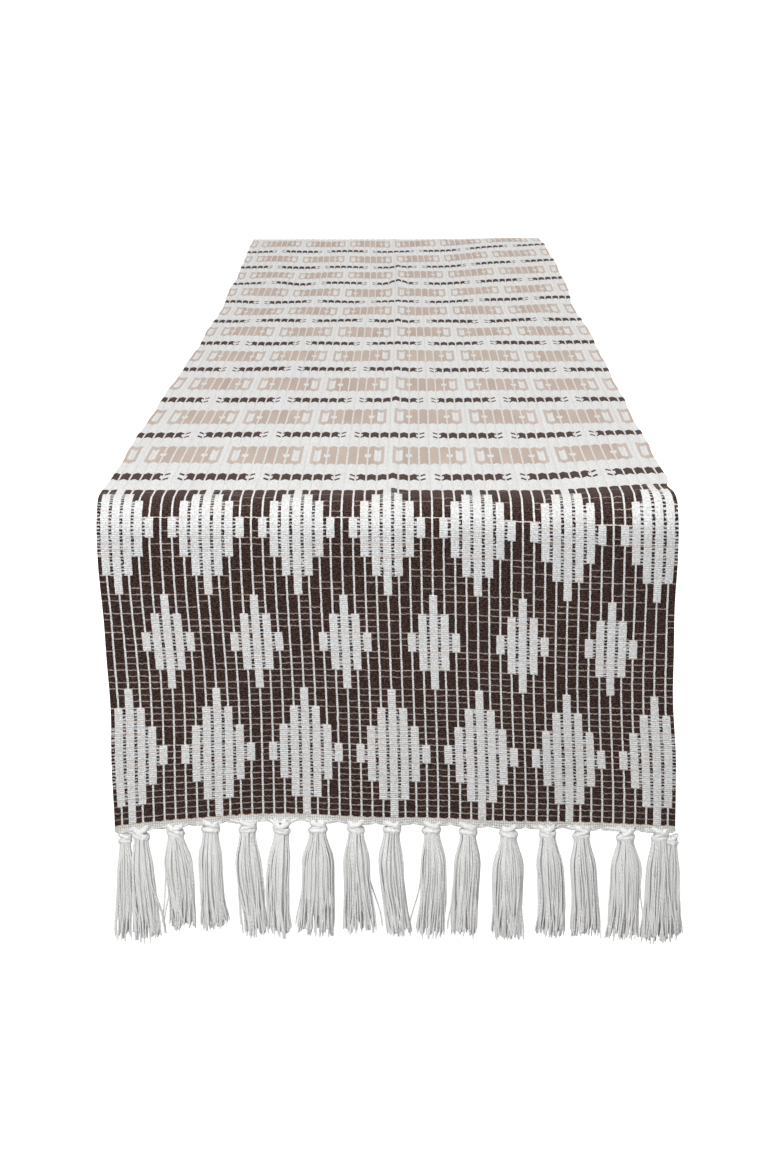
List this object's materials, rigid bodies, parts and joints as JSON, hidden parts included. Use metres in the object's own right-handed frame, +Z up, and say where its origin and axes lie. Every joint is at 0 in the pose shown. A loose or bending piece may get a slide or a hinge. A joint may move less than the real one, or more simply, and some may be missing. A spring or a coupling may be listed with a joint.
{
  "type": "table runner",
  "caption": "Ribbed woven table runner draped over a table, patterned end bands and knotted tassels on both hanging ends.",
  "frame": {"origin": "middle of the cloth's underside, on the face that rests on the table", "axes": "X across the runner, +Y along it towards the rear drop, +Z up, away from the table"},
  "size_m": [0.33, 1.4008, 0.328],
  "materials": {
    "field_weave": "matt ribbed cotton weave, white with rows of brown dashes and taupe cartouches",
    "band_weave": "matt ribbed cotton weave, dark brown with white stepped diamonds",
    "header_yarn": "plain off-white cotton",
    "tassel_yarn": "loose off-white cotton strands, slightly lustrous"
  },
  "bodies": {
    "cloth_on_table": {"centre_field": "field_weave", "front_band_edge": "band_weave", "front_bend": "band_weave", "rear_bend": "field_weave"},
    "front_drop": {"front_band": "band_weave", "front_header": "header_yarn"},
    "front_tassel_01": {"front_tassel_01": "tassel_yarn"},
    "front_tassel_02": {"front_tassel_02": "tassel_yarn"},
    "front_tassel_03": {"front_tassel_03": "tassel_yarn"},
    "front_tassel_04": {"front_tassel_04": "tassel_yarn"},
    "front_tassel_05": {"front_tassel_05": "tassel_yarn"},
    "front_tassel_06": {"front_tassel_06": "tassel_yarn"},
    "front_tassel_07": {"front_tassel_07": "tassel_yarn"},
    "front_tassel_08": {"front_tassel_08": "tassel_yarn"},
    "front_tassel_09": {"front_tassel_09": "tassel_yarn"},
    "front_tassel_10": {"front_tassel_10": "tassel_yarn"},
    "front_tassel_11": {"front_tassel_11": "tassel_yarn"},
    "front_tassel_12": {"front_tassel_12": "tassel_yarn"},
    "front_tassel_13": {"front_tassel_13": "tassel_yarn"},
    "front_tassel_14": {"front_tassel_14": "tassel_yarn"},
    "front_tassel_15": {"front_tassel_15": "tassel_yarn"},
    "rear_drop": {"rear_field_end": "field_weave", "rear_band": "band_weave", "rear_header": "header_yarn"},
    "rear_tassel_01": {"rear_tassel_01": "tassel_yarn"},
    "rear_tassel_02": {"rear_tassel_02": "tassel_yarn"},
    "rear_tassel_03": {"rear_tassel_03": "tassel_yarn"},
    "rear_tassel_04": {"rear_tassel_04": "tassel_yarn"},
    "rear_tassel_05": {"rear_tassel_05": "tassel_yarn"},
    "rear_tassel_06": {"rear_tassel_06": "tassel_yarn"},
    "rear_tassel_07": {"rear_tassel_07": "tassel_yarn"},
    "rear_tassel_08": {"rear_tassel_08": "tassel_yarn"},
    "rear_tassel_09": {"rear_tassel_09": "tassel_yarn"},
    "rear_tassel_10": {"rear_tassel_10": "tassel_yarn"},
    "rear_tassel_11": {"rear_tassel_11": "tassel_yarn"},
    "rear_tassel_12": {"rear_tassel_12": "tassel_yarn"},
    "rear_tassel_13": {"rear_tassel_13": "tassel_yarn"},
    "rear_tassel_14": {"rear_tassel_14": "tassel_yarn"},
    "rear_tassel_15": {"rear_tassel_15": "tassel_yarn"}
  },
  "joints": [
    {"name": "front_drop_lift", "type": "hinge", "parent": "cloth_on_table", "child": "front_drop", "pos_m": [0, -0.68989, -0.00266], "axis": [-1, 0, 0], "range_deg": [0, 90], "deforming": ["front_bend"]},
    {"name": "front_tassel_01_swing", "type": "hinge", "parent": "front_drop", "child": "front_tassel_01", "pos_m": [-0.154, -0.69375, -0.19603], "axis": [-1, 0, 0], "range_deg": [-90, 90]},
    {"name": "front_tassel_02_swing", "type": "hinge", "parent": "front_drop", "child": "front_tassel_02", "pos_m": [-0.132, -0.69375, -0.19603], "axis": [-1, 0, 0], "range_deg": [-90, 90]},
    {"name": "front_tassel_03_swing", "type": "hinge", "parent": "front_drop", "child": "front_tassel_03", "pos_m": [-0.11, -0.69375, -0.19603], "axis": [-1, 0, 0], "range_deg": [-90, 90]},
    {"name": "front_tassel_04_swing", "type": "hinge", "parent": "front_drop", "child": "front_tassel_04", "pos_m": [-0.088, -0.69375, -0.19603], "axis": [-1, 0, 0], "range_deg": [-90, 90]},
    {"name": "front_tassel_05_swing", "type": "hinge", "parent": "front_drop", "child": "front_tassel_05", "pos_m": [-0.066, -0.69375, -0.19603], "axis": [-1, 0, 0], "range_deg": [-90, 90]},
    {"name": "front_tassel_06_swing", "type": "hinge", "parent": "front_drop", "child": "front_tassel_06", "pos_m": [-0.044, -0.69375, -0.19603], "axis": [-1, 0, 0], "range_deg": [-90, 90]},
    {"name": "front_tassel_07_swing", "type": "hinge", "parent": "front_drop", "child": "front_tassel_07", "pos_m": [-0.022, -0.69375, -0.19603], "axis": [-1, 0, 0], "range_deg": [-90, 90]},
    {"name": "front_tassel_08_swing", "type": "hinge", "parent": "front_drop", "child": "front_tassel_08", "pos_m": [0, -0.69375, -0.19603], "axis": [-1, 0, 0], "range_deg": [-90, 90]},
    {"name": "front_tassel_09_swing", "type": "hinge", "parent": "front_drop", "child": "front_tassel_09", "pos_m": [0.022, -0.69375, -0.19603], "axis": [-1, 0, 0], "range_deg": [-90, 90]},
    {"name": "front_tassel_10_swing", "type": "hinge", "parent": "front_drop", "child": "front_tassel_10", "pos_m": [0.044, -0.69375, -0.19603], "axis": [-1, 0, 0], "range_deg": [-90, 90]},
    {"name": "front_tassel_11_swing", "type": "hinge", "parent": "front_drop", "child": "front_tassel_11", "pos_m": [0.066, -0.69375, -0.19603], "axis": [-1, 0, 0], "range_deg": [-90, 90]},
    {"name": "front_tassel_12_swing", "type": "hinge", "parent": "front_drop", "child": "front_tassel_12", "pos_m": [0.088, -0.69375, -0.19603], "axis": [-1, 0, 0], "range_deg": [-90, 90]},
    {"name": "front_tassel_13_swing", "type": "hinge", "parent": "front_drop", "child": "front_tassel_13", "pos_m": [0.11, -0.69375, -0.19603], "axis": [-1, 0, 0], "range_deg": [-90, 90]},
    {"name": "front_tassel_14_swing", "type": "hinge", "parent": "front_drop", "child": "front_tassel_14", "pos_m": [0.132, -0.69375, -0.19603], "axis": [-1, 0, 0], "range_deg": [-90, 90]},
    {"name": "front_tassel_15_swing", "type": "hinge", "parent": "front_drop", "child": "front_tassel_15", "pos_m": [0.154, -0.69375, -0.19603], "axis": [-1, 0, 0], "range_deg": [-90, 90]},
    {"name": "rear_drop_lift", "type": "hinge", "parent": "cloth_on_table", "child": "rear_drop", "pos_m": [0, 0.68989, -0.00266], "axis": [1, 0, 0], "range_deg": [0, 90], "deforming": ["rear_bend"]},
    {"name": "rear_tassel_01_swing", "type": "hinge", "parent": "rear_drop", "child": "rear_tassel_01", "pos_m": [-0.154, 0.69375, -0.25913], "axis": [1, 0, 0], "range_deg": [-90, 90]},
    {"name": "rear_tassel_02_swing", "type": "hinge", "parent": "rear_drop", "child": "rear_tassel_02", "pos_m": [-0.132, 0.69375, -0.25913], "axis": [1, 0, 0], "range_deg": [-90, 90]},
    {"name": "rear_tassel_03_swing", "type": "hinge", "parent": "rear_drop", "child": "rear_tassel_03", "pos_m": [-0.11, 0.69375, -0.25913], "axis": [1, 0, 0], "range_deg": [-90, 90]},
    {"name": "rear_tassel_04_swing", "type": "hinge", "parent": "rear_drop", "child": "rear_tassel_04", "pos_m": [-0.088, 0.69375, -0.25913], "axis": [1, 0, 0], "range_deg": [-90, 90]},
    {"name": "rear_tassel_05_swing", "type": "hinge", "parent": "rear_drop", "child": "rear_tassel_05", "pos_m": [-0.066, 0.69375, -0.25913], "axis": [1, 0, 0], "range_deg": [-90, 90]},
    {"name": "rear_tassel_06_swing", "type": "hinge", "parent": "rear_drop", "child": "rear_tassel_06", "pos_m": [-0.044, 0.69375, -0.25913], "axis": [1, 0, 0], "range_deg": [-90, 90]},
    {"name": "rear_tassel_07_swing", "type": "hinge", "parent": "rear_drop", "child": "rear_tassel_07", "pos_m": [-0.022, 0.69375, -0.25913], "axis": [1, 0, 0], "range_deg": [-90, 90]},
    {"name": "rear_tassel_08_swing", "type": "hinge", "parent": "rear_drop", "child": "rear_tassel_08", "pos_m": [0, 0.69375, -0.25913], "axis": [1, 0, 0], "range_deg": [-90, 90]},
    {"name": "rear_tassel_09_swing", "type": "hinge", "parent": "rear_drop", "child": "rear_tassel_09", "pos_m": [0.022, 0.69375, -0.25913], "axis": [1, 0, 0], "range_deg": [-90, 90]},
    {"name": "rear_tassel_10_swing", "type": "hinge", "parent": "rear_drop", "child": "rear_tassel_10", "pos_m": [0.044, 0.69375, -0.25913], "axis": [1, 0, 0], "range_deg": [-90, 90]},
    {"name": "rear_tassel_11_swing", "type": "hinge", "parent": "rear_drop", "child": "rear_tassel_11", "pos_m": [0.066, 0.69375, -0.25913], "axis": [1, 0, 0], "range_deg": [-90, 90]},
    {"name": "rear_tassel_12_swing", "type": "hinge", "parent": "rear_drop", "child": "rear_tassel_12", "pos_m": [0.088, 0.69375, -0.25913], "axis": [1, 0, 0], "range_deg": [-90, 90]},
    {"name": "rear_tassel_13_swing", "type": "hinge", "parent": "rear_drop", "child": "rear_tassel_13", "pos_m": [0.11, 0.69375, -0.25913], "axis": [1, 0, 0], "range_deg": [-90, 90]},
    {"name": "rear_tassel_14_swing", "type": "hinge", "parent": "rear_drop", "child": "rear_tassel_14", "pos_m": [0.132, 0.69375, -0.25913], "axis": [1, 0, 0], "range_deg": [-90, 90]},
    {"name": "rear_tassel_15_swing", "type": "hinge", "parent": "rear_drop", "child": "rear_tassel_15", "pos_m": [0.154, 0.69375, -0.25913], "axis": [1, 0, 0], "range_deg": [-90, 90]}
  ]
}
